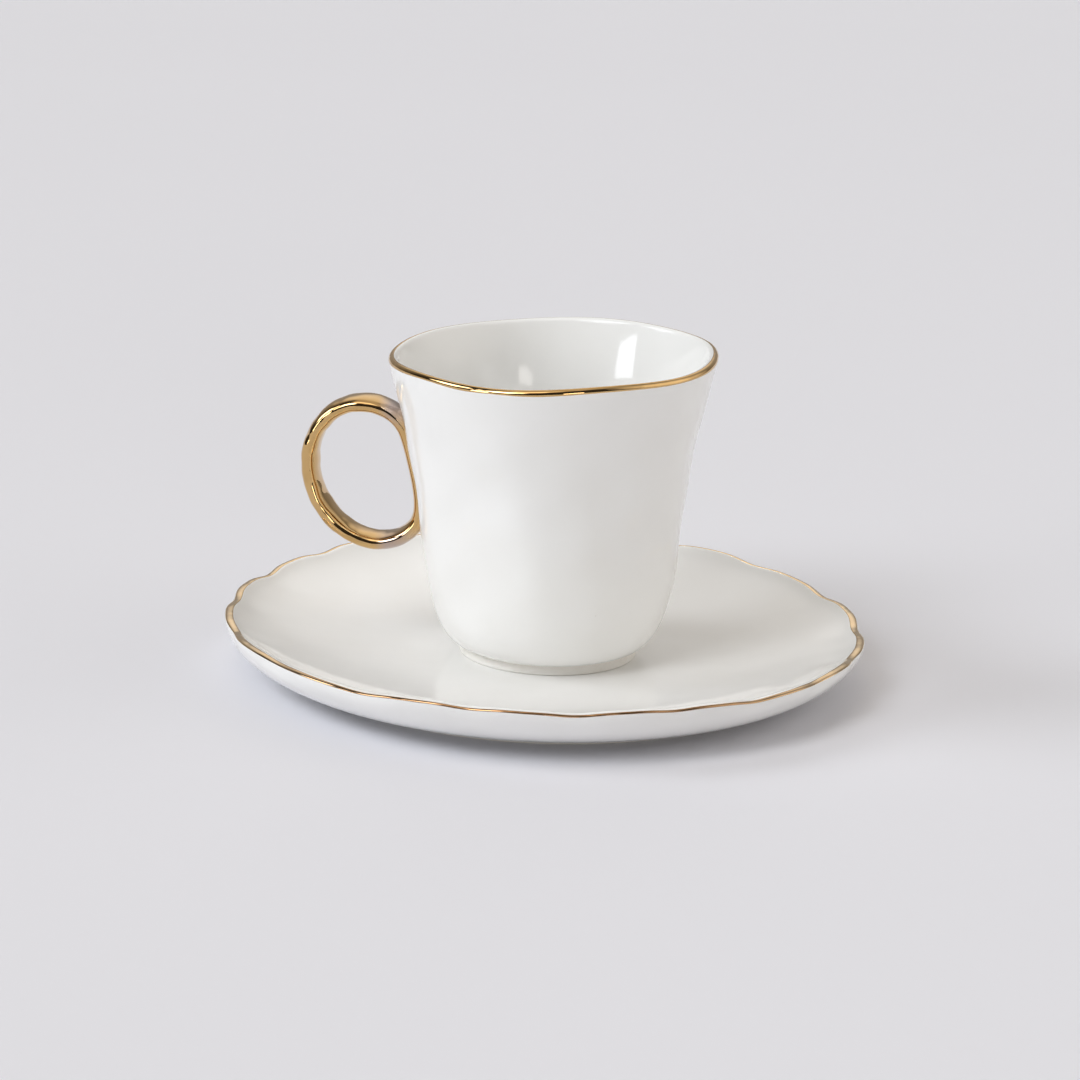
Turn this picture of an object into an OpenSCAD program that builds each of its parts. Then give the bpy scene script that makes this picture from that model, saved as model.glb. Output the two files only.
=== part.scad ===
// Espresso cup and saucer in glazed porcelain with gold lips and a gold ring handle.
// Millimetres, +Z up, origin on the table under the middle of the saucer, handle towards -X.

/* [Saucer] */
// Mean outer diameter of the saucer across its lip
saucer_d = 125.6; // [116:0.2:140]
// Mean height of the lip above the table
saucer_h = 11.2; // [10:0.1:15]
// Outer diameter of the saucer's foot ring
saucer_foot_d = 93; // [84:1:98]
// Height of the saucer's foot ring
saucer_foot_h = 1.2; // [0.8:0.1:2]
// Width of the saucer's foot ring on the table
saucer_foot_w = 2.6; // [2:0.1:5]
// Thickness of the saucer's floor
saucer_floor_t = 3.2; // [2.5:0.1:4]
// Width of the saucer's flattened lip
saucer_lip_w = 2; // [1.6:0.1:2.6]
// Thickness of that lip
saucer_lip_t = 1; // [0.8:0.1:1.6]
// Diameter of the flat well that the cup stands in
well_d = 52; // [46:1:60]
// Length over which the underside leaves the foot ring nearly flat
underside_run = 8; // [5:0.5:10]
// Height over which the underside turns up into the lip
underside_turn = 5.5; // [4:0.5:7]
// Length over which the dish leaves the well nearly flat
dish_run = 18; // [12:1:22]
// Width of the dish's steeper edge below the lip
dish_edge = 5; // [3:0.5:8]
// Height of that steeper edge
dish_edge_h = 3.6; // [2:0.1:5]

/* [Hand-formed saucer] */
// How far the lip is drawn out to the front and back, and in at the sides
saucer_oval = 0.5; // [0:0.1:1]
// Number of waves round the lip
saucer_waves = 19; // [12:1:24]
// How far the lip swells outwards between two notches
saucer_wave_out = 0.3; // [0:0.05:0.6]
// How far the lip rises between two notches
saucer_wave_lift = 0.25; // [0:0.05:0.5]
// Height below the lip at which these have faded out
saucer_wave_fall = 4; // [3:0.5:6]
// Direction from which the waves are counted
saucer_wave_turn = 206.2; // [0:0.1:359.9]
// Uneven spacing of the waves, in degrees
saucer_wave_drift = 3.9; // [0:0.1:6]
// Direction in which the waves are widest
saucer_wave_drift_turn = 33.5; // [0:0.5:179.5]

/* [Cup] */
// Outer diameter of the cup across its lip
cup_d = 63.4; // [60:0.2:70]
// Mean height of the cup above the well
cup_h = 59.8; // [56:0.2:66]
// Outer diameter of the cup's foot ring
cup_foot_d = 33.4; // [30:0.2:38]
// Height of the cup's foot ring
cup_foot_h = 1.8; // [1.2:0.1:2.6]
// Width of the cup's foot ring in the well
cup_foot_w = 2.6; // [2:0.1:4]
// How far the foot stands off the saucer's middle, away from the handle
cup_lean = 0.7; // [0:0.1:1.5]
// Outer diameter of the belly
belly_d = 48.4; // [45:0.2:53]
// Height of the belly above the well
belly_h = 18.8; // [15:0.2:22]
// Outward lean of the wall at the belly, per millimetre of height
belly_lean = 0.12; // [0.05:0.01:0.16]
// Width of the flare below the lip
flare_w = 4.9; // [3:0.1:6]
// Height of the flare below the lip
flare_h = 20; // [14:0.5:23]
// Thickness of the cup's wall
cup_wall_t = 2.6; // [2.2:0.1:3.4]
// Thickness of the cup's floor
cup_floor_t = 3; // [2.4:0.1:4]
// Thickness of the cup's lip
cup_lip_t = 1.8; // [1.6:0.1:2.4]

/* [Hand-pressed wall] */
// Number of soft panels round the wall
wall_panels = 5; // [4:1:9]
// Depth of the panels in the wall
panel_depth = 0.8; // [0:0.05:1]
// Share of that depth left at the lip
panel_lip = 0.3; // [0:0.05:1]
// Direction of a ridge between two panels, at the lip
panel_turn = 252; // [0:1:359]
// Twist of the ridges from the lip to the foot, in degrees
panel_twist = 32; // [0:1:60]
// Dip of the lip at each ridge
lip_dip = 0.2; // [0:0.05:0.5]
// Rise of the lip on the side away from the handle
lip_slant = 1.2; // [0:0.1:2]

/* [Handle] */
// Height of the ring's middle above the well
handle_h = 33.5; // [31:0.5:38]
// Outer height of the ring
handle_tall = 30.6; // [27:0.2:34]
// Distance that the ring stands out from the wall
handle_reach = 23.4; // [19:0.2:27]
// Turn of the ring round the cup, in degrees
handle_turn = -9; // [-12:1:12]
// Width of the oval that the ring's bow follows
handle_oval = 24.6; // [22:0.2:28]
// Outward lean of the ring's top
handle_lean = 1.5; // [0:0.1:3]
// Thickness of the ring
handle_t = 2.8; // [2.2:0.1:3.4]
// Depth of the ring across the oval
handle_depth = 8; // [6:0.1:9]
// How far the ring stands proud of the wall along its seat
handle_strip = 1.3; // [1.1:0.1:2.2]
// Thickness of the slip along the seat
slip_t = 0.5; // [0.4:0.05:0.8]
// Thickness of the slip's fillets at the ends of the seat
slip_end_t = 1.3; // [0.9:0.1:2]
// Width of the slip's fillet beside the ring
slip_edge = 1.2; // [0.8:0.1:2]
// How far the slip's ends stay short of the ring's outer height
slip_inset = 1.2; // [1:0.1:3]
// Depth to which the slip keys into the scored wall and ring
slip_key = 0.1; // [0.05:0.01:0.2]

/* [Gilding] */
// Thickness of the gold bands
gild_t = 0.12; // [0.08:0.01:0.2]
// Outer end of the cup's band on the round of the lip, in degrees
cup_band_start = 10; // [0:1:40]
// Inner end of the cup's band on the round of the lip, in degrees
cup_band_end = 96; // [80:2:150]
// Outer end of the saucer's band on the round of the lip, in degrees
saucer_band_start = 26; // [10:2:44]
// Inner end of the saucer's band on the round of the lip, in degrees
saucer_band_end = 130; // [100:2:150]

/* [Hidden] */
$fn = 96;

sides_per_wave = 6;
sides_per_panel = 15;
saucer_sides = sides_per_wave * saucer_waves;
cup_sides = sides_per_panel * wall_panels;
underside_steps = 6;
dish_steps = 6;
foot_curve_steps = 6;
wall_steps = 9;
floor_curve_steps = 6;
lip_steps = 3;

saucer_r = saucer_d / 2;
saucer_foot_r = saucer_foot_d / 2;
saucer_lip = [saucer_lip_w / 2, saucer_lip_t / 2];
saucer_lip_h = saucer_h - saucer_lip.y;
well_r = well_d / 2;
well_h = saucer_foot_h + saucer_floor_t;

cup_r = cup_d / 2;
cup_foot_r = cup_foot_d / 2;
cup_lip_r = cup_lip_t / 2;
cup_lip = [cup_lip_r, cup_lip_r];
cup_lip_h = cup_h - cup_lip_r;
cup_floor_h = cup_foot_h + cup_floor_t;
belly_r = belly_d / 2;
gild = [gild_t, gild_t];

// Overhang of each body past its foot ring, and draft of the ring's sides
foot_overhang = 0.3;
foot_draft = 0.2;

handle_way = 180;
handle_stations = 60;
handle_section_sides = 12;
section_power = 3.5;
seat_blend = 2.5;
slip_columns = 8;
slip_rows = 20;

// Curves and blends
function smooth(x) = let (t = min(max(x, 0), 1)) t * t * (3 - 2 * t);
function larger(a, b, blend) = (a + b + sqrt(pow(a - b, 2) + pow(blend, 2))) / 2;
function mix(a, b, t) = a + (b - a) * t;
function bezier(p, t) = pow(1 - t, 3) * p[0] + 3 * t * pow(1 - t, 2) * p[1]
    + 3 * t * t * (1 - t) * p[2] + pow(t, 3) * p[3];
function run(p, steps) = [for (i = [0:steps]) bezier(p, i / steps)];
function oval(centre, r, a) = centre + [r.x * cos(a), r.y * sin(a)];
function arc(centre, r, from, to, steps) = [for (i = [0:steps]) oval(centre, r, mix(from, to, i / steps))];
function reverse(list) = [for (i = [len(list) - 1:-1:0]) list[i]];
function tail(list) = [for (i = [1:len(list) - 1]) list[i]];
function but_last(list) = [for (i = [0:len(list) - 2]) list[i]];

// A solid through rings of points, with flat ends or joined end to end, split along shorter diagonals
module loft(rings, joined = false) {
    n = len(rings[0]);
    m = len(rings);
    spans = joined ? m : m - 1;
    points = [for (ring = rings) each ring];
    sides = [for (i = [0:spans - 1], j = [0:n - 1])
        let (a = i * n, b = ((i + 1) % m) * n, k = (j + 1) % n)
        each norm(points[a + j] - points[b + k]) < norm(points[b + j] - points[a + k])
            ? [[a + j, b + j, b + k], [a + j, b + k, a + k]]
            : [[a + j, b + j, a + k], [b + j, b + k, a + k]]];
    ends = joined ? [] : [[for (j = [0:n - 1]) j], [for (j = [n - 1:-1:0]) (m - 1) * n + j]];
    polyhedron(points, concat(sides, ends));
}

// Saucer: waves and oval of the lip, and the place of a profile point at one direction
wave_notch = 0.25;
function saucer_wave(a) =
    let (even = a - saucer_wave_turn - saucer_wave_drift * sin(2 * (a - saucer_wave_drift_turn)))
    cos(saucer_waves * even) - wave_notch * cos(2 * saucer_waves * even);
function saucer_fade(z) = smooth(1 - (saucer_lip_h - z) / saucer_wave_fall);
function saucer_point(p, a) =
    let (share = saucer_fade(p.y), w = saucer_wave(a) * share)
    let (r = p.x + w * saucer_wave_out - share * saucer_oval * cos(2 * a))
    [r * cos(a), r * sin(a), p.y + w * saucer_wave_lift];
function saucer_ring(p) =
    [for (j = [0:saucer_sides - 1]) saucer_point(p, 360 * j / saucer_sides)];

saucer_lip_centre = [saucer_r - saucer_lip.x, saucer_lip_h];
saucer_out = oval(saucer_lip_centre, saucer_lip, -atan(saucer_lip.y / underside_turn));
underside = run([
    [saucer_foot_r + foot_overhang, saucer_foot_h],
    [saucer_foot_r + underside_run, saucer_foot_h + saucer_lip_t],
    saucer_out - [saucer_lip.x, underside_turn],
    saucer_out], underside_steps);
saucer_band = arc(saucer_lip_centre, saucer_lip, saucer_band_start, saucer_band_end, lip_steps);
saucer_gold = arc(saucer_lip_centre, saucer_lip + gild, saucer_band_start, saucer_band_end, lip_steps);
saucer_in = saucer_band[lip_steps];
dish = run([
    saucer_in,
    saucer_in - [dish_edge, dish_edge_h],
    [well_r + dish_run, well_h],
    [well_r, well_h]], dish_steps);

module saucer_body() {
    profile = concat(underside, saucer_band, tail(dish));
    color("whitesmoke") loft([for (p = profile) saucer_ring(p)]);
}

module saucer_rim_gilding() {
    profile = concat(reverse(saucer_band), saucer_gold);
    color("goldenrod") loft([for (p = profile) saucer_ring(p)], joined = true);
}

// A foot ring with drafted sides
module foot_ring(r, w, h, draft) {
    rotate_extrude() polygon([[r - w, 0], [r, 0], [r + draft, h], [r - w - draft, h]]);
}

module saucer_foot_ring() {
    color("linen") foot_ring(saucer_foot_r, saucer_foot_w, saucer_foot_h, foot_draft);
}

// Cup: soft panels and lean of the wall, slant and dips of the lip, and the place of a profile point
function lip_share(h) = smooth((h - belly_h) / (cup_h - belly_h));
function lip_lift(a) = lip_slant * cos(a) - lip_dip * cos(wall_panels * (a - panel_turn));
function panel_share(h) = smooth((h - cup_foot_h) / belly_h) * mix(1, panel_lip, lip_share(h));
function pressed(a, h) = cup_lean * cos(a) * (1 - h / cup_h) + panel_depth * panel_share(h)
    * cos(wall_panels * (a - panel_turn - panel_twist * (1 - h / cup_h)));
function cup_point(p, a) =
    let (r = p.x + pressed(a, p.y))
    [r * cos(a), r * sin(a), well_h + p.y + lip_lift(a) * lip_share(p.y)];
function cup_ring(p) = [for (j = [0:cup_sides - 1]) cup_point(p, 360 * j / cup_sides)];

flare = [flare_w, flare_h];
belly_out = [belly_r, belly_h];
belly_in = [belly_r - cup_wall_t, belly_h];
belly_way = [belly_lean * flare_h, flare_h];
cup_lip_centre = [cup_r - cup_lip_r, cup_lip_h];
cup_lip_lean = atan(flare_w / flare_h);
cup_out = oval(cup_lip_centre, cup_lip, -cup_lip_lean);
cup_in = oval(cup_lip_centre, cup_lip, 180 - cup_lip_lean);
outer_wall = run([belly_out, belly_out + belly_way, cup_out - flare, cup_out], wall_steps);
inner_wall = run([belly_in, belly_in + belly_way, cup_in - flare, cup_in], wall_steps);
cup_band = arc(cup_lip_centre, cup_lip, cup_band_start, cup_band_end, lip_steps);
cup_gold = arc(cup_lip_centre, cup_lip + gild, cup_band_start, cup_band_end, lip_steps);
cup_lip_inside = arc(cup_lip_centre, cup_lip, cup_band_end, 180 - cup_lip_lean, lip_steps);
foot_curve = run([
    [cup_foot_r + foot_overhang, cup_foot_h],
    [belly_r - cup_wall_t, cup_foot_h + foot_overhang],
    [belly_r - belly_lean * belly_h / 2, belly_h / 2],
    belly_out], foot_curve_steps);
inner_floor_r = cup_foot_r - cup_foot_w;
floor_round = 0.33;
floor_curve = run([
    belly_in,
    [belly_r - cup_wall_t - belly_lean * belly_h / 2, mix(cup_floor_h, belly_h, floor_round)],
    [inner_floor_r, cup_floor_h],
    [inner_floor_r / 2, cup_floor_h]], floor_curve_steps);

module cup_body() {
    profile = concat(foot_curve, tail(outer_wall), cup_band, tail(but_last(cup_lip_inside)),
        reverse(inner_wall), tail(floor_curve));
    color("whitesmoke") loft([for (p = profile) cup_ring(p)]);
}

module cup_rim_gilding() {
    profile = concat(reverse(cup_band), cup_gold);
    color("goldenrod") loft([for (p = profile) cup_ring(p)], joined = true);
}

module cup_foot_ring() {
    color("linen") translate([cup_lean, 0, well_h])
        foot_ring(cup_foot_r, cup_foot_w, cup_foot_h, -foot_draft);
}

// Radius of the cup's outer wall at direction a and height z above the table
wall_table = [for (p = concat(foot_curve, tail(outer_wall))) [p.y, p.x]];
function wall_r(a, z) =
    let (near = z - well_h, h = near - lip_lift(a) * lip_share(near))
    lookup(h, wall_table) + pressed(a, h);

// The same with directions counted from the handle's own turn
function seat_r(a, z) = wall_r(a + handle_turn, z);

// Slip between the wall and the ring: its thickness at a side step y and height z
handle_z = well_h + handle_h;
slip_half_w = handle_depth / 2 + slip_edge;
slip_half_h = handle_tall / 2 - slip_inset;
slip_tip = 0.97;
slip_power = 6;
fillet_from = 0.5;
taper_from = 0.75;
function from_on(x, start) = smooth((x - start) / (1 - start));
function slip_along(z) = min(abs(z - handle_z) / slip_half_h, 1);
function slip_side(z) = slip_half_w * sqrt(1 - pow(slip_along(z), slip_power));
function slip_at(y, z) =
    let (along = slip_along(z), across = along < 1 ? abs(y) / slip_side(z) : 1)
    mix(slip_t, slip_end_t, from_on(along, fillet_from)) * (1 - smooth(across))
        * (1 - from_on(along, taper_from));
function on_wall(y, z, out) =
    let (a = handle_way - asin(y / seat_r(handle_way, z)), r = seat_r(a, z) + out)
    [r * cos(a), r * sin(a), z];

module handle_slip() {
    shares = [for (i = [0:slip_columns]) mix(-1, 1, i / slip_columns)];
    reach = slip_tip * slip_half_h;
    heights = [for (i = [0:slip_rows]) handle_z + mix(-reach, reach, i / slip_rows)];
    color("white") rotate(handle_turn) loft([for (z = heights) let (side = slip_side(z)) concat(
        [for (y = side * shares) on_wall(y, z, -slip_key)],
        [for (y = side * reverse(shares)) on_wall(y, z, slip_key + slip_at(y, z))])]);
}

// Ring handle: its bow is an oval that runs down along the wall on the cup's side
bow_half_w = handle_oval / 2;
bow_half_h = (handle_tall - handle_t) / 2;
bow_r = seat_r(handle_way, handle_z) + handle_reach - handle_t / 2 - bow_half_w;
function bow(t) =
    let (z = handle_z + bow_half_h * sin(t), r = bow_r + bow_half_w * cos(t) + handle_lean * sin(t))
    [larger(r, seat_r(handle_way, z) + handle_strip - handle_t / 2, seat_blend), z];
function bow_normal(t) =
    let (d = bow(t + 1) - bow(t - 1), out = d / norm(d)) [out.y, -out.x];
function rounded(x) = sign(x) * pow(abs(x), 2 / section_power);
function seated(p) =
    let (a = atan2(p.y, p.x), r = norm([p.x, p.y]), seat = seat_r(a, p.z) + slip_at(p.y, p.z) + slip_key / 2)
    r < seat ? [p.x * seat / r, p.y * seat / r, p.z] : p;
function handle_ring(t) =
    let (c = bow(t), out = bow_normal(t))
    [for (j = [0:handle_section_sides - 1])
        let (s = 360 * j / handle_section_sides, p = c + out * handle_t / 2 * rounded(cos(s)))
        seated([-p.x, handle_depth / 2 * rounded(sin(s)), p.y])];

module cup_handle() {
    turns = [for (i = [0:handle_stations - 1]) -360 * i / handle_stations];
    color("goldenrod") rotate(handle_turn) loft([for (t = turns) handle_ring(t)], joined = true);
}

saucer_body();
saucer_foot_ring();
saucer_rim_gilding();
cup_body();
cup_foot_ring();
cup_rim_gilding();
cup_handle();
handle_slip();
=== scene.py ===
"""Looks of an espresso cup and saucer: glazed porcelain with gold lips and a gold ring handle."""

import math

import bpy
import numpy as np
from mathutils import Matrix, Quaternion, Vector


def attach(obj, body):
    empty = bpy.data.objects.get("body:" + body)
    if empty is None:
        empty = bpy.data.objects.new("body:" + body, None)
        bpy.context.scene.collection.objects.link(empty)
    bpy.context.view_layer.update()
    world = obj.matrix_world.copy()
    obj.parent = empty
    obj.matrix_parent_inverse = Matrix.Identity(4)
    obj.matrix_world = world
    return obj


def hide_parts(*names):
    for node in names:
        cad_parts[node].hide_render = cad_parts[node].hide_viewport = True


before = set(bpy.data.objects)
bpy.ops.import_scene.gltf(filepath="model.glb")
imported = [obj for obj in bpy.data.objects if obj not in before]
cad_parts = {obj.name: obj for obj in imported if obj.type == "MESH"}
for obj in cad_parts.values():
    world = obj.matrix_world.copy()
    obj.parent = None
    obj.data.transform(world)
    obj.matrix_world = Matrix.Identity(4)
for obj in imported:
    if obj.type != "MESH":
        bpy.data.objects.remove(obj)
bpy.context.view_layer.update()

MM = 0.001
TURN = 2 * math.pi

# Saucer, in millimetres
SAUCER_R = 62.73
SAUCER_H = 11.2
SAUCER_FOOT_R = 46.5
SAUCER_FOOT_H = 1.2
SAUCER_FOOT_W = 2.6
SAUCER_LIP = np.array([1.0, 0.5])
WELL_R = 26.0
WELL_H = 4.4
UNDERSIDE_RUN = 8.0
UNDERSIDE_TURN = 5.5
DISH_RUN = 18.0
DISH_EDGE = np.array([5.0, 3.6])

# Waves of the saucer's lip, its sag at the sides, its rise at the front and back, and its swells
SAUCER_OVAL = 0.5
SAUCER_WAVES = 19
WAVE_OUT = 0.3
WAVE_LIFT = 0.25
WAVE_NOTCH = 0.25
WAVE_FALL = 4.0
WAVE_TURN = math.radians(206.2)
WAVE_DRIFT = math.radians(3.9)
WAVE_DRIFT_TURN = math.radians(33.5)
LIP_SAG = 0.73
LIP_SAG_MORE = 0.5
LIP_RISE = 0.35
LIP_SWELLS = 9
LIP_SWELL = 0.2
LIP_SWELL_TURN = math.radians(13.3)

# Cup, in millimetres, heights above the saucer's well
CUP_R = 31.7
CUP_H = 59.8
CUP_FOOT_R = 16.7
CUP_FOOT_H = 1.8
CUP_FOOT_W = 2.6
CUP_FOOT_FLARE = 0.5
CUP_LEAN = 0.7
BELLY_R = 24.2
BELLY_H = 18.8
BELLY_LEAN = 0.12
BELLY_DRAW = 1.2
FLARE = np.array([4.9, 20.0])
CUP_WALL_T = 2.6
CUP_FLOOR_T = 3.0
FLOOR_TURN = 0.33
CUP_LIP_R = 0.9
LIP_INSIDE_LEAN = math.radians(21)
LIP_INSIDE_RUN = 9.0
LIP_DIP = 0.2
LIP_SLANT = 1.2
PANELS = 5
PANEL_DEPTH = 0.8
PANEL_TURN = math.radians(252)
PANEL_TWIST = math.radians(32)
PANEL_LIP = 0.3

# Finger marks: pairs of crossing waves, each a count round the cup, a rise per radian and a phase
DENT = 0.16
DENT_PAIRS = (((5, 6, 1), (-2, 5, 0)), ((11, -8, 2), (3, 4, 0)))

# Both feet
FOOT_OVERHANG = 0.3
FOOT_DRAFT = 0.2
FOOT_EDGE = 0.3

# Ring handle, with ripples that have a count along the bow, a count round the strap, a phase and a share
HANDLE_WAY = math.pi
HANDLE_TURN = math.radians(-9)
HANDLE_Z = WELL_H + 33.5
HANDLE_TALL = 30.6
HANDLE_REACH = 23.4
HANDLE_OVAL = 24.6
HANDLE_LEAN = 1.5
HANDLE_T = 3.2
HANDLE_DEPTH = 8.0
HANDLE_STRIP = 1.3
SECTION_POWER = 2.4
SEAT_BLEND = 2.5
RIPPLE = 0.04
RIPPLES = ((7, 2, 0, 1), (11, -3, 1, 1), (17, 1, 2, 1), (29, -1, 0, 0.5))

# Slip between the ring and the wall
SLIP_T = 0.5
SLIP_END_T = 1.3
SLIP_EDGE = 1.2
SLIP_INSET = 1.2
SLIP_KEY = 0.1
SLIP_POWER = 6
SLIP_TIP = 0.985
SLIP_LEAST_W = 0.001
FILLET_FROM = 0.5
TAPER_FROM = 0.75

# Gold bands: thicknesses, angles round the section of a lip, and how the cup's lower edge sways
GILD_T = 0.06
GILD_SINK = 0.03
GILD_POWER = 4
CUP_BAND_START = math.radians(-6)
CUP_BAND_END = math.radians(96)
CUP_BAND_THIN = math.radians(20)
CUP_BAND_SWAY = math.radians(6)
CUP_BAND_SWAYS = 7
CUP_BAND_DRIFT = 2
CUP_BAND_DRIFTS = 3
SAUCER_BAND_START = math.radians(26)
SAUCER_BAND_END = math.radians(130)
SAUCER_BAND_DROP = math.radians(30)
SAUCER_BAND_THIN = math.radians(82)
SAUCER_BAND_THIN_BACK = math.radians(34)
SAUCER_BAND_SWAY = math.radians(8)

# Where reflections are painted into the gold: a mauve painted reflection of the white wall at the ring's
# joints, a brown painted dark reflection of the room along the saucer's front
JOINT_OUT = 34.0
JOINT_IN = 31.5
JOINT_FROM = 0.7
PAINTED_DARK_REFLECTION_FROM = 28.0
PAINTED_DARK_REFLECTION_FULL = 56.0

# Fineness of the meshes, and the radius that the caps close on the axis
SAUCER_SIDES = 512
CUP_SIDES = 384
FINE = 48
LIP_FINE = 20
FOOT_FINE = 6
RING_STATIONS = 320
RING_SIDES = 40
SLIP_ROWS = 72
SLIP_COLUMNS = 24
AXIS_R = 0.3

# Colours, in linear light
GLAZE_DEEP, GLAZE_PALE = (0.9, 0.892, 0.868), (0.925, 0.919, 0.899)
SPECK, NO_SPECK = (0.7, 0.68, 0.65), (1.0, 1.0, 1.0)
BARE_WORN, BARE, BARE_PALE = (0.87, 0.835, 0.77), (0.9, 0.868, 0.81), (0.92, 0.89, 0.838)
GOLD_DEEP, GOLD_PALE = (0.63, 0.405, 0.17), (0.73, 0.49, 0.225)
THIN_DEEP, THIN_PALE = (0.74, 0.54, 0.32), (0.84, 0.64, 0.39)
# Painted reflections in the gold: mauve for the white wall at the ring's joints, dark brown for the dark
# room along the saucer's front
PAINTED_WALL_REFLECTION, PAINTED_DARK_REFLECTION = (0.52, 0.42, 0.38), (0.42, 0.25, 0.13)
FLOOR_DEEP, FLOOR_PALE = (0.81, 0.807, 0.845), (0.82, 0.817, 0.855)
COOL, WARM, AMBER = (0.915, 0.953, 1.0), (1.0, 0.965, 0.925), (1.0, 0.92, 0.82)
BLACK = (0, 0, 0)

# Most of a noise's values lie between these two
NOISE_LOW, NOISE_HIGH = 0.3, 0.7


def smooth(x):
    """From 0 to 1, level at both ends."""
    t = np.clip(x, 0, 1)
    return t * t * (3 - 2 * t)


def from_on(x, start):
    """0 up to the start, and from there smoothly to 1."""
    return smooth((x - start) / (1 - start))


def mix(a, b, t):
    return a + (b - a) * t


def larger(a, b, blend):
    """The larger of two values, rounded off where they cross."""
    return (a + b + np.sqrt((a - b) ** 2 + blend ** 2)) / 2


def round_about(sides):
    return np.arange(sides) / sides * TURN


def bezier(points, steps):
    p = np.array(points, float)
    t = np.linspace(0, 1, steps + 1)[:, None]
    u = 1 - t
    return u ** 3 * p[0] + 3 * t * u ** 2 * p[1] + 3 * t * t * u * p[2] + t ** 3 * p[3]


def arc(centre, r, start, end, steps):
    a = np.linspace(start, end, steps + 1)
    return np.array(centre) + r * np.stack([np.cos(a), np.sin(a)], 1)


def level(r, h):
    """A level run of a profile, from a radius in to the axis."""
    return np.stack([np.linspace(r, AXIS_R, LIP_FINE), np.full(LIP_FINE, h)], 1)


def chain(*runs):
    """Runs of profile points joined end to end, the shared points once."""
    return np.concatenate([runs[0]] + [run[1:] for run in runs[1:]])


def mesh_of(name, points, joined=False, low_cap=False, high_cap=False):
    """A smooth mesh through rings of points (rings, sides, 3) in millimetres.

    The last ring is joined to the first, or the ends get pointed caps, where asked.
    """
    rings, sides = points.shape[:2]
    verts = [points.reshape(-1, 3)]
    i, j = np.meshgrid(np.arange(rings if joined else rings - 1), np.arange(sides), indexing="ij")
    i, j = i.ravel(), j.ravel()
    up, on = (i + 1) % rings, (j + 1) % sides
    faces = np.stack([i * sides + j, i * sides + on, up * sides + on, up * sides + j], 1).tolist()
    count = rings * sides
    for wanted, ring, step in ((low_cap, 0, -1), (high_cap, rings - 1, 1)):
        if wanted:
            verts.append(points[ring].mean(0)[None])
            around = ring * sides + np.arange(sides)
            faces += [[count, *pair[::step]] for pair in zip(around, np.roll(around, -1))]
            count += 1
    mesh = bpy.data.meshes.new(name)
    mesh.from_pydata((np.concatenate(verts) * MM).tolist(), [], faces)
    mesh.polygons.foreach_set("use_smooth", [True] * len(mesh.polygons))
    mesh.update()
    obj = bpy.data.objects.new(name, mesh)
    bpy.context.scene.collection.objects.link(obj)
    return obj


def piece(obj, body, node, look):
    obj.data.materials.append(look)
    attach(obj, body)
    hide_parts(node)


# Saucer: a profile turned about the axis, its lip waved by hand
saucer_way = round_about(SAUCER_SIDES)
wave_drift = WAVE_DRIFT * np.sin(2 * (saucer_way - WAVE_DRIFT_TURN))
wave_phase = SAUCER_WAVES * (saucer_way - WAVE_TURN - wave_drift)
saucer_wave = np.cos(wave_phase) - WAVE_NOTCH * np.cos(2 * wave_phase)
saucer_sag = LIP_SAG * np.cos(saucer_way) ** 2 * (1 + LIP_SAG_MORE * np.cos(saucer_way))
saucer_swell = LIP_SWELL * np.cos(LIP_SWELLS * (saucer_way - LIP_SWELL_TURN))
saucer_warp = saucer_swell - saucer_sag + LIP_RISE * np.sin(saucer_way) ** 2
saucer_lip = np.array([SAUCER_R, SAUCER_H]) - SAUCER_LIP


def saucer_rings(profile):
    r, z = profile[..., 0], profile[..., 1]
    share = smooth(1 - (saucer_lip[1] - z) / WAVE_FALL)
    w = saucer_wave * share
    r = r + w * WAVE_OUT - share * SAUCER_OVAL * np.cos(2 * saucer_way)
    z = z + w * WAVE_LIFT + share * saucer_warp
    return np.stack([r * np.cos(saucer_way), r * np.sin(saucer_way), z], 2)


saucer_lip_start = -math.atan2(SAUCER_LIP[1], UNDERSIDE_TURN)
saucer_lip_end = math.atan2(DISH_EDGE[0] * SAUCER_LIP[1], -DISH_EDGE[1] * SAUCER_LIP[0])
saucer_round = arc(saucer_lip, SAUCER_LIP, saucer_lip_start, saucer_lip_end, LIP_FINE)
underside = bezier([
    [SAUCER_FOOT_R + FOOT_OVERHANG, SAUCER_FOOT_H],
    [SAUCER_FOOT_R + UNDERSIDE_RUN, SAUCER_FOOT_H + 2 * SAUCER_LIP[1]],
    saucer_round[0] - [SAUCER_LIP[0], UNDERSIDE_TURN],
    saucer_round[0]], FINE)
dish = bezier([
    saucer_round[-1],
    saucer_round[-1] - DISH_EDGE,
    [WELL_R + DISH_RUN, WELL_H],
    [WELL_R, WELL_H]], FINE)
saucer_profile = chain(underside, saucer_round, dish, level(WELL_R, WELL_H))[:, None]

# Cup: a profile turned about the axis, its wall pressed into soft panels and its lip slanted
cup_way = round_about(CUP_SIDES)


def lip_share(h):
    return smooth((h - BELLY_H) / (CUP_H - BELLY_H))


def lip_lift(a, h):
    return (LIP_SLANT * np.cos(a) - LIP_DIP * np.cos(PANELS * (a - PANEL_TURN))) * lip_share(h)


def crossing(a, h, count, rise, phase):
    return np.cos(count * a + h / rise + phase)


def dent(a, h):
    """Finger marks on the pressed wall, gone at the foot and the lip."""
    marks = sum(crossing(a, h, *one) * crossing(a, h, *other) for one, other in DENT_PAIRS)
    return DENT * marks * smooth((h - CUP_FOOT_H) / BELLY_H) * smooth((CUP_H - h) / BELLY_H)


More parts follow.
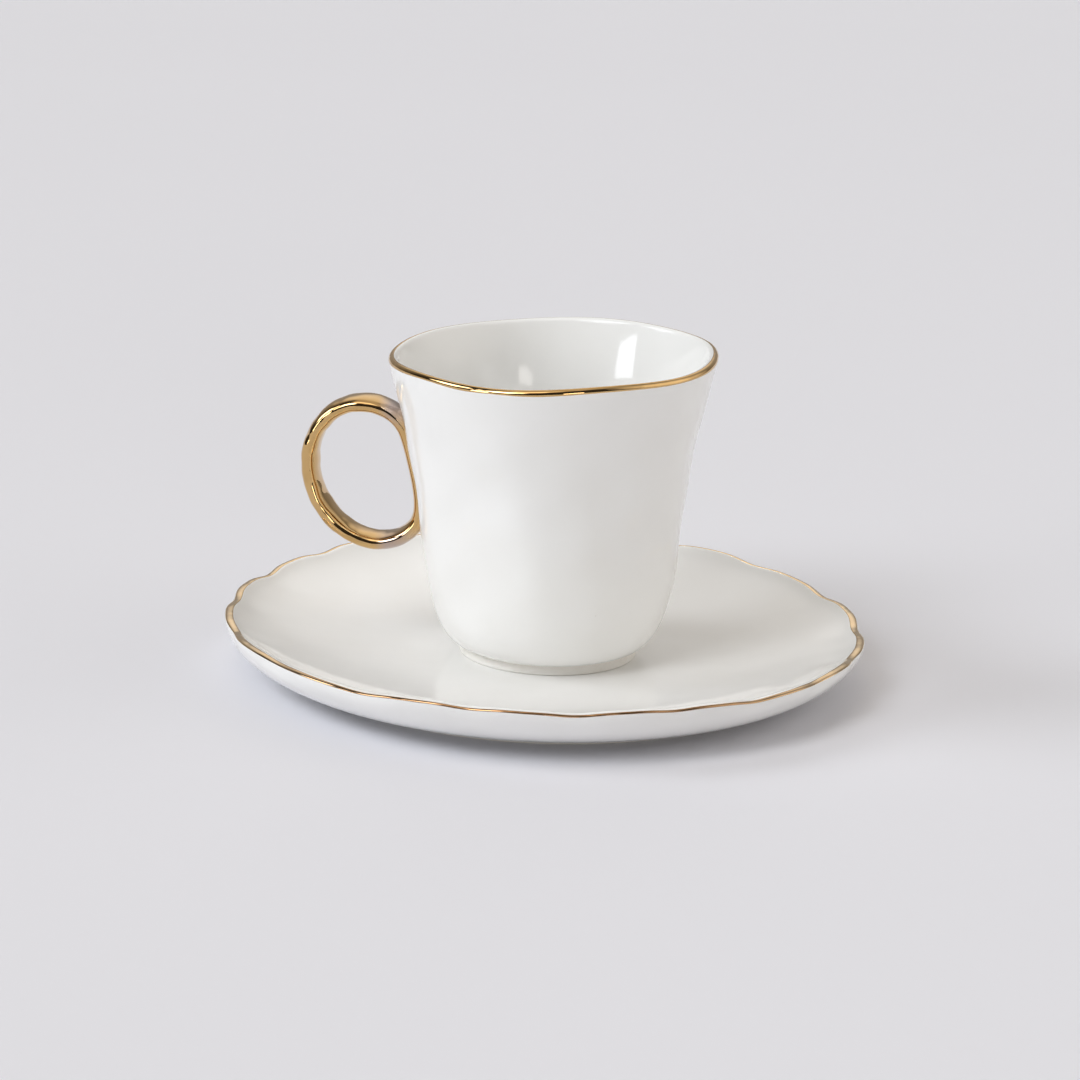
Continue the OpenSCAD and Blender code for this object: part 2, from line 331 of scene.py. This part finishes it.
def pressed(a, h):
    """How far the pressed wall stands off its round profile: soft panels, a lean and finger marks."""
    down = 1 - h / CUP_H
    panel = np.cos(PANELS * (a - PANEL_TURN - PANEL_TWIST * down)) * mix(1, PANEL_LIP, lip_share(h))
    panels = PANEL_DEPTH * panel * smooth((h - CUP_FOOT_H) / BELLY_H)
    return panels + CUP_LEAN * np.cos(a) * down + dent(a, h)


def cup_rings(profile):
    h = profile[..., 1]
    r = profile[..., 0] + pressed(cup_way, h)
    return np.stack([r * np.cos(cup_way), r * np.sin(cup_way), WELL_H + h + lip_lift(cup_way, h)], 2)


cup_lip = np.array([CUP_R - CUP_LIP_R, CUP_H - CUP_LIP_R])
lip_lean = math.atan2(FLARE[0], FLARE[1])
cup_round = arc(cup_lip, CUP_LIP_R, -lip_lean, math.pi - LIP_INSIDE_LEAN, LIP_FINE)
lip_inside = LIP_INSIDE_RUN * np.array([math.sin(LIP_INSIDE_LEAN), math.cos(LIP_INSIDE_LEAN)])
floor_h = CUP_FOOT_H + CUP_FLOOR_T
floor_r = CUP_FOOT_R - CUP_FOOT_W
foot_curve = bezier([
    [CUP_FOOT_R + FOOT_OVERHANG, CUP_FOOT_H],
    [BELLY_R - CUP_WALL_T, CUP_FOOT_H + BELLY_DRAW],
    [BELLY_R - BELLY_LEAN * BELLY_H / 2, BELLY_H / 2],
    [BELLY_R, BELLY_H]], FINE)
outer_wall = bezier([
    [BELLY_R, BELLY_H],
    [BELLY_R + BELLY_LEAN * FLARE[1], BELLY_H + FLARE[1]],
    cup_round[0] - FLARE,
    cup_round[0]], FINE)
inner_wall = bezier([
    cup_round[-1],
    cup_round[-1] - lip_inside,
    [BELLY_R - CUP_WALL_T + BELLY_LEAN * FLARE[1], BELLY_H + FLARE[1]],
    [BELLY_R - CUP_WALL_T, BELLY_H]], FINE)
floor_curve = bezier([
    [BELLY_R - CUP_WALL_T, BELLY_H],
    [BELLY_R - CUP_WALL_T - BELLY_LEAN * BELLY_H / 2, mix(floor_h, BELLY_H, FLOOR_TURN)],
    [floor_r, floor_h],
    [floor_r / 2, floor_h]], FINE)
wall_line = chain(foot_curve, outer_wall)
cup_profile = chain(wall_line, cup_round, inner_wall, floor_curve, level(floor_r / 2, floor_h))[:, None]


def wall_r(a, z):
    """Radius of the cup's outer wall at direction a and height z above the table."""
    near = z - WELL_H
    h = near - lip_lift(a, near)
    return np.interp(h, wall_line[:, 1], wall_line[:, 0]) + pressed(a, h)


def seat_r(a, z):
    """The same with directions counted from the handle's own turn."""
    return wall_r(a + HANDLE_TURN, z)


def about_cup(x, y, z):
    """Points of the handle or its slip, turned with it round the cup."""
    c, s = math.cos(HANDLE_TURN), math.sin(HANDLE_TURN)
    return np.stack([c * x - s * y, s * x + c * y, z], 2)


# Slip: a thin pad on the wall that swells into a fillet at both ends of the ring
slip_half_w = HANDLE_DEPTH / 2 + SLIP_EDGE
slip_half_h = HANDLE_TALL / 2 - SLIP_INSET


def slip_along(z):
    return np.minimum(np.abs(z - HANDLE_Z) / slip_half_h, 1)


def slip_side(z):
    return slip_half_w * np.sqrt(1 - slip_along(z) ** SLIP_POWER)


def slip_at(y, z):
    """Thickness of the slip at a place beside and above the handle's middle."""
    along = slip_along(z)
    across = np.where(along < 1, np.abs(y) / np.maximum(slip_side(z), SLIP_LEAST_W), 1)
    fillet = mix(SLIP_T, SLIP_END_T, from_on(along, FILLET_FROM))
    return fillet * (1 - smooth(across)) * (1 - from_on(along, TAPER_FROM))


def slip_rings():
    z = HANDLE_Z + np.linspace(-SLIP_TIP, SLIP_TIP, SLIP_ROWS)[:, None] * slip_half_h
    share = np.linspace(-1, 1, SLIP_COLUMNS)
    y = slip_side(z) * np.concatenate([share, share[::-1]])
    out = np.where(np.arange(2 * SLIP_COLUMNS) < SLIP_COLUMNS, -SLIP_KEY, SLIP_KEY + slip_at(y, z))
    a = HANDLE_WAY - np.arcsin(y / seat_r(HANDLE_WAY, z))
    r = seat_r(a, z) + out
    return about_cup(r * np.cos(a), r * np.sin(a), z + 0 * y)


# Ring handle: an oval bow that runs down along the wall on the cup's side
bow_half_w = HANDLE_OVAL / 2
bow_half_h = (HANDLE_TALL - HANDLE_T) / 2
bow_r = seat_r(HANDLE_WAY, HANDLE_Z) + HANDLE_REACH - HANDLE_T / 2 - bow_half_w


def bow(t):
    """Radius and height of the strap's middle along the bow."""
    z = HANDLE_Z + bow_half_h * np.sin(t)
    r = bow_r + bow_half_w * np.cos(t) + HANDLE_LEAN * np.sin(t)
    return np.stack([larger(r, seat_r(HANDLE_WAY, z) + HANDLE_STRIP - HANDLE_T / 2, SEAT_BLEND), z], 1)


def rounded(x):
    """A cosine or sine of the strap's section, squared off a little."""
    return np.sign(x) * np.abs(x) ** (2 / SECTION_POWER)


def handle_rings():
    """The strap's sections along the bow, rippled on the free side and seated on the slip."""
    t = -round_about(RING_STATIONS)
    step = TURN / RING_STATIONS
    centre = bow(t)
    d = bow(t + step) - bow(t - step)
    d /= np.linalg.norm(d, axis=1)[:, None]
    out = np.stack([d[:, 1], -d[:, 0]], 1)
    s = round_about(RING_SIDES)
    t = t[:, None]
    waves = sum(share * np.cos(along * t + about * s + phase) for along, about, phase, share in RIPPLES)
    ripple = waves * RIPPLE * (1 + np.cos(t)) / 2
    thick = HANDLE_T / 2 * rounded(np.cos(s)) + ripple * np.cos(s)
    p = centre[:, None] + out[:, None] * thick[..., None]
    x, z = -p[..., 0], p[..., 1]
    y = HANDLE_DEPTH / 2 * rounded(np.sin(s)) + ripple * np.sin(s)
    seat = seat_r(np.arctan2(y, x), z) + slip_at(y, z) + SLIP_KEY / 2
    grow = np.maximum(seat / np.hypot(x, y), 1)
    return about_cup(x * grow, y * grow, z)


def band_rings(centre, r, start, end, rings_of):
    """A closed skin of gold over a lip, thickest in its middle."""
    share = np.linspace(0, 1, 2 * LIP_FINE)[:, None]
    at = mix(start, end, share)
    side = np.stack([np.cos(at), np.sin(at)], 2)
    over = centre + side * (r + (GILD_T * (1 - np.abs(2 * share - 1) ** GILD_POWER))[..., None])
    under = centre + side * (r - GILD_SINK)
    return rings_of(np.concatenate([over, under[::-1]]))


def foot_profile(r, w, h, z, draft):
    """A foot ring's section with rounded edges, from its inner top to its outer top."""
    low = z + FOOT_EDGE
    return chain(
        np.array([[r - w - draft, z + h], [r - w, low]]),
        arc([r - w + FOOT_EDGE, low], FOOT_EDGE, math.pi, 1.5 * math.pi, FOOT_FINE),
        arc([r - FOOT_EDGE, low], FOOT_EDGE, 1.5 * math.pi, TURN, FOOT_FINE),
        np.array([[r, low], [r + draft, z + h]]))


def turned(profile, sides, middle=0):
    a = round_about(sides)
    r, z = profile[:, :1], profile[:, 1:]
    return np.stack([middle + r * np.cos(a), r * np.sin(a), z + 0 * a], 2)


# Materials
def feed(tree, node, inputs):
    """Give a node its inputs, by socket: a value, or the output of another node."""
    for socket, value in inputs.items():
        if isinstance(value, bpy.types.NodeSocket):
            tree.links.new(value, node.inputs[socket])
        else:
            node.inputs[socket].default_value = value


def add(tree, kind, inputs, **settings):
    """A new node with its settings and inputs."""
    made = tree.nodes.new(kind)
    for setting, value in settings.items():
        setattr(made, setting, value)
    feed(tree, made, inputs)
    return made


def material(name):
    """A new material, its tree, its shader and the object's own coordinates."""
    made = bpy.data.materials.new(name)
    made.use_nodes = True
    tree = made.node_tree
    place = add(tree, "ShaderNodeTexCoord", {}).outputs["Object"]
    return made, tree, tree.nodes["Principled BSDF"], place


def noise(tree, place, scale, detail=3.0, rough=0.5):
    inputs = {"Vector": place, "Scale": scale, "Detail": detail, "Roughness": rough}
    return add(tree, "ShaderNodeTexNoise", inputs).outputs["Fac"]


def ramp(tree, value, stops):
    made = add(tree, "ShaderNodeValToRGB", {"Fac": value})
    elements = made.color_ramp.elements
    while len(elements) < len(stops):
        elements.new(0.5)
    for element, (at, colour) in zip(elements, stops):
        element.position = at
        element.color = (*colour, 1)
    return made.outputs["Color"]


def mapped(tree, value, start, end, low=0.0, high=1.0):
    """Low up to the start of a value's range, high from its end, and even in between."""
    inputs = {"Value": value, "From Min": start, "From Max": end, "To Min": low, "To Max": high}
    return add(tree, "ShaderNodeMapRange", inputs).outputs["Result"]


def uneven(tree, place, scale, low, high):
    """A value that wanders between low and high over the surface."""
    return mapped(tree, noise(tree, place, scale), NOISE_LOW, NOISE_HIGH, low, high)


def bump(tree, height, distance, strength, under=None):
    inputs = {"Height": height, "Distance": distance, "Strength": strength}
    if under is not None:
        inputs["Normal"] = under
    return add(tree, "ShaderNodeBump", inputs).outputs["Normal"]


def porcelain_glaze():
    """Warm white glaze: faint clouding, a rare dark speck, a soft ripple and a near-mirror gloss."""
    made, tree, shader, place = material("porcelain_glaze")
    cloud = ramp(tree, noise(tree, place, scale=55.0), [
        (NOISE_LOW, GLAZE_DEEP), (NOISE_HIGH, GLAZE_PALE)])
    cells = add(tree, "ShaderNodeTexVoronoi", {"Vector": place, "Scale": 75.0})
    specks = ramp(tree, cells.outputs["Distance"], [(0.01, SPECK), (0.018, NO_SPECK)])
    both = add(tree, "ShaderNodeMix", {"Factor": 1.0, "A": cloud, "B": specks},
               data_type="RGBA", blend_type="MULTIPLY")
    ripple = bump(tree, noise(tree, place, scale=90.0, detail=1.0), distance=0.0006, strength=0.12)
    fine = noise(tree, place, scale=900.0, detail=2.0)
    peel = bump(tree, fine, distance=0.0001, strength=0.05, under=ripple)
    feed(tree, shader, {
        "Base Color": both.outputs["Result"],
        "Roughness": uneven(tree, place, scale=160.0, low=0.05, high=0.1),
        "Normal": peel,
        "IOR": 1.52})
    return made


def painted_reflection_mask(tree, place):
    """Mask of the painted wall reflection: from 0 along the ring to 1 where its upper and lower ends meet
    the wall.
    """
    flat = add(tree, "ShaderNodeVectorMath", {0: place, 1: (1, 1, 0)}, operation="MULTIPLY")
    reach = add(tree, "ShaderNodeVectorMath", {0: flat.outputs["Vector"]}, operation="LENGTH")
    inward = mapped(tree, reach.outputs["Value"], JOINT_OUT * MM, JOINT_IN * MM)
    parts = add(tree, "ShaderNodeSeparateXYZ", {"Vector": place})
    off = add(tree, "ShaderNodeMath", {0: parts.outputs["Z"], 1: HANDLE_Z * MM}, operation="SUBTRACT")
    away = add(tree, "ShaderNodeMath", {0: off.outputs["Value"]}, operation="ABSOLUTE")
    ends = mapped(tree, away.outputs["Value"], bow_half_h * JOINT_FROM * MM, bow_half_h * MM)
    return add(tree, "ShaderNodeMath", {0: inward, 1: ends}, operation="MULTIPLY").outputs["Value"]


def painted_dark_reflection_mask(tree, place):
    """Mask of the painted dark reflection: from 0 at the saucer's middle and back to 1 along the front of
    its rim.
    """
    parts = add(tree, "ShaderNodeSeparateXYZ", {"Vector": place})
    return mapped(tree, parts.outputs["Y"], -PAINTED_DARK_REFLECTION_FROM * MM, -PAINTED_DARK_REFLECTION_FULL * MM)


def gold_lustre(name, deep, pale, nearness=None, painted_tint=None):
    """Gold fired over the glaze: uneven and brush-rippled; where asked, a painted reflection of another
    colour is mixed in under a mask.
    """
    made, tree, shader, place = material(name)
    tone = ramp(tree, noise(tree, place, scale=180.0), [(NOISE_LOW, deep), (NOISE_HIGH, pale)])
    if nearness:
        inputs = {"Factor": nearness(tree, place), "A": tone, "B": (*painted_tint, 1)}
        tone = add(tree, "ShaderNodeMix", inputs, data_type="RGBA").outputs["Result"]
    feed(tree, shader, {
        "Base Color": tone,
        "Roughness": uneven(tree, place, scale=700.0, low=0.03, high=0.08),
        "Normal": bump(tree, noise(tree, place, scale=280.0, detail=1.0), distance=0.0003, strength=0.35),
        "Metallic": 1.0})
    return made


def bare_porcelain():
    """Unglazed foot: a matt cream body with fine grit and a little darker where it is worn."""
    made, tree, shader, place = material("bare_porcelain")
    tone = ramp(tree, noise(tree, place, scale=350.0, detail=5.0, rough=0.6), [
        (0.3, BARE_WORN), (0.45, BARE), (0.75, BARE_PALE)])
    grit = noise(tree, place, scale=4000.0, detail=4.0, rough=0.6)
    feed(tree, shader, {
        "Base Color": tone,
        "Roughness": uneven(tree, place, scale=900.0, low=0.55, high=0.85),
        "Normal": bump(tree, grit, distance=0.00006, strength=0.5)})
    return made


glaze, bare = porcelain_glaze(), bare_porcelain()
gold = gold_lustre("gold_lustre", GOLD_DEEP, GOLD_PALE)
# The ring's gold gets a mauve painted reflection of the white wall at its joints, the saucer's thin gold a
# brown painted dark reflection along its front
ring_gold = gold_lustre("ring_gold_painted_reflection", GOLD_DEEP, GOLD_PALE, painted_reflection_mask, PAINTED_WALL_REFLECTION)
thin_gold = gold_lustre("thin_gold_painted_dark_reflection", THIN_DEEP, THIN_PALE, painted_dark_reflection_mask, PAINTED_DARK_REFLECTION)

# Pieces of the saucer
piece(mesh_of("saucer", saucer_rings(saucer_profile), low_cap=True, high_cap=True),
      "saucer", "saucer_body", glaze)
saucer_foot = foot_profile(SAUCER_FOOT_R, SAUCER_FOOT_W, SAUCER_FOOT_H, 0, FOOT_DRAFT)
piece(mesh_of("saucer_foot", turned(saucer_foot, SAUCER_SIDES)),
      "saucer", "saucer_foot_ring", bare)
saucer_front = smooth(-np.sin(saucer_way)) ** 2
saucer_back = smooth(np.sin(saucer_way))
saucer_sway = SAUCER_BAND_SWAY * saucer_wave * (1 - saucer_front)
saucer_band_start = SAUCER_BAND_START - saucer_sway - SAUCER_BAND_DROP * saucer_front
saucer_band_end = SAUCER_BAND_END - SAUCER_BAND_THIN * saucer_front - SAUCER_BAND_THIN_BACK * saucer_back
saucer_gold = band_rings(saucer_lip, SAUCER_LIP, saucer_band_start, saucer_band_end, saucer_rings)
piece(mesh_of("saucer_gilding", saucer_gold, joined=True),
      "saucer", "saucer_rim_gilding", thin_gold)

# Pieces of the cup
piece(mesh_of("cup", cup_rings(cup_profile), low_cap=True, high_cap=True),
      "cup", "cup_body", glaze)
cup_foot = foot_profile(
    CUP_FOOT_R + CUP_FOOT_FLARE, CUP_FOOT_W + CUP_FOOT_FLARE, CUP_FOOT_H, WELL_H, -CUP_FOOT_FLARE)
piece(mesh_of("cup_foot", turned(cup_foot, CUP_SIDES, CUP_LEAN)),
      "cup", "cup_foot_ring", bare)
cup_band_phase = CUP_BAND_SWAYS * cup_way + CUP_BAND_DRIFT * np.sin(CUP_BAND_DRIFTS * cup_way)
cup_band_start = CUP_BAND_START + CUP_BAND_SWAY * np.cos(cup_band_phase)
cup_band_end = CUP_BAND_END - CUP_BAND_THIN * smooth(np.sin(cup_way))
cup_gold = band_rings(cup_lip, CUP_LIP_R, cup_band_start, cup_band_end, cup_rings)
piece(mesh_of("cup_gilding", cup_gold, joined=True),
      "cup", "cup_rim_gilding", gold)
piece(mesh_of("ring_handle", handle_rings(), joined=True),
      "cup", "cup_handle", ring_gold)
piece(mesh_of("slip_fillet", slip_rings(), low_cap=True, high_cap=True),
      "cup", "handle_slip", glaze)

# Floor
FLOOR_HALF = 6.0
floor_corners = [(x * FLOOR_HALF, y * FLOOR_HALF, 0) for x, y in ((-1, -1), (1, -1), (1, 1), (-1, 1))]
floor_mesh = bpy.data.meshes.new("floor")
floor_mesh.from_pydata(floor_corners, [], [(0, 1, 2, 3)])
floor = bpy.data.objects.new("floor", floor_mesh)
bpy.context.scene.collection.objects.link(floor)
floor_material, floor_tree, floor_shader, floor_place = material("pale_floor")
floor_tone = ramp(floor_tree, noise(floor_tree, floor_place, scale=3.0), [
    (NOISE_LOW, FLOOR_DEEP), (NOISE_HIGH, FLOOR_PALE)])
feed(floor_tree, floor_shader, {"Base Color": floor_tone, "Roughness": 0.7, "Specular IOR Level": 0.2})
floor_mesh.materials.append(floor_material)

# Light: a window on the left, a weaker opening behind the camera and soft patches of the room
LAMP_FAR = 3.0
ROOM_LEVEL = 0.04


def pointing(azimuth, elevation):
    a, e = math.radians(azimuth), math.radians(elevation)
    return Vector((math.cos(a) * math.cos(e), math.sin(a) * math.cos(e), math.sin(e)))


def lamp(name, azimuth, elevation, width, height, radiance, colour):
    """A rectangle of light that faces the object, out of the camera's sight."""
    data = bpy.data.lights.new(name, "AREA")
    data.shape = "RECTANGLE"
    data.size, data.size_y = width, height
    data.energy = radiance * math.pi * width * height
    data.color = colour
    made = bpy.data.objects.new(name, data)
    way = pointing(azimuth, elevation)
    made.location = way * LAMP_FAR
    made.rotation_mode = "QUATERNION"
    made.rotation_quaternion = (-way).to_track_quat("-Z", "Y")
    made.visible_camera = False
    bpy.context.scene.collection.objects.link(made)


lamp("window", azimuth=214, elevation=10.8, width=0.68, height=1.0, radiance=6.0, colour=COOL)
lamp("opening", azimuth=286, elevation=10, width=0.8, height=0.76, radiance=4.0, colour=WARM)

world = bpy.data.worlds.new("room")
bpy.context.scene.world = world
world.use_nodes = True
room_tree = world.node_tree
room = room_tree.nodes["Background"]
feed(room_tree, room, {"Color": (*AMBER, 1), "Strength": ROOM_LEVEL})
room_way = add(room_tree, "ShaderNodeTexCoord", {}).outputs["Generated"]


def glow(before, azimuth, elevation, gone, full, strength, colour):
    """The light so far and a soft patch: gone at one cosine from its middle, full at another."""
    near = add(room_tree, "ShaderNodeVectorMath", {0: room_way, 1: pointing(azimuth, elevation)},
               operation="DOT_PRODUCT")
    tint = ramp(room_tree, near.outputs["Value"], [(gone, BLACK), (full, colour)])
    patch = add(room_tree, "ShaderNodeBackground", {"Color": tint, "Strength": strength})
    return add(room_tree, "ShaderNodeAddShader", {0: before.outputs[0], 1: patch.outputs[0]})


# Azimuth, elevation, cosines where the patch is gone and full, strength and colour
PATCHES = (
    (225, 42, 0.96, 0.99, 7.5, COOL),
    (180, 33, 0.96, 0.99, 6.4, COOL),
    (238, 66, 0.96, 0.99, 1.5, AMBER),
    (0, 25, 0.707, 0.966, 1.15, WARM),
    (90, 42, 0.866, 0.966, 0.7, WARM),
    (90, 12, 0.5, 0.9, 0.3, WARM),
    (0, 90, 0.866, 0.966, 0.6, AMBER))
for patch_values in PATCHES:
    room = glow(room, *patch_values)
feed(room_tree, room_tree.nodes["World Output"], {"Surface": room.outputs[0]})

# Camera, as in the photograph
CAMERA_FAR = 0.9
CAMERA_TILT = math.radians(15.38)
CAMERA_ROLL = math.radians(2.08)
CAMERA_AIM = Vector((-1.55, 0, 26.68)) * MM
SENSOR_WIDTH = 36.0
FOCAL_LENGTH = 154.2
CLIP_START = 0.01
CLIP_END = 100
camera_data = bpy.data.cameras.new("camera")
camera_data.sensor_width = SENSOR_WIDTH
camera_data.lens = FOCAL_LENGTH
camera_data.clip_start = CLIP_START
camera_data.clip_end = CLIP_END
camera = bpy.data.objects.new("camera", camera_data)
bpy.context.scene.collection.objects.link(camera)
back = Vector((0, -math.cos(CAMERA_TILT), math.sin(CAMERA_TILT)))
camera.location = CAMERA_AIM + back * CAMERA_FAR
camera.rotation_mode = "QUATERNION"
camera.rotation_quaternion = (-back).to_track_quat("-Z", "Y") @ Quaternion((0, 0, 1), CAMERA_ROLL)
bpy.context.scene.camera = camera
bpy.context.scene.view_settings.view_transform = "Standard"
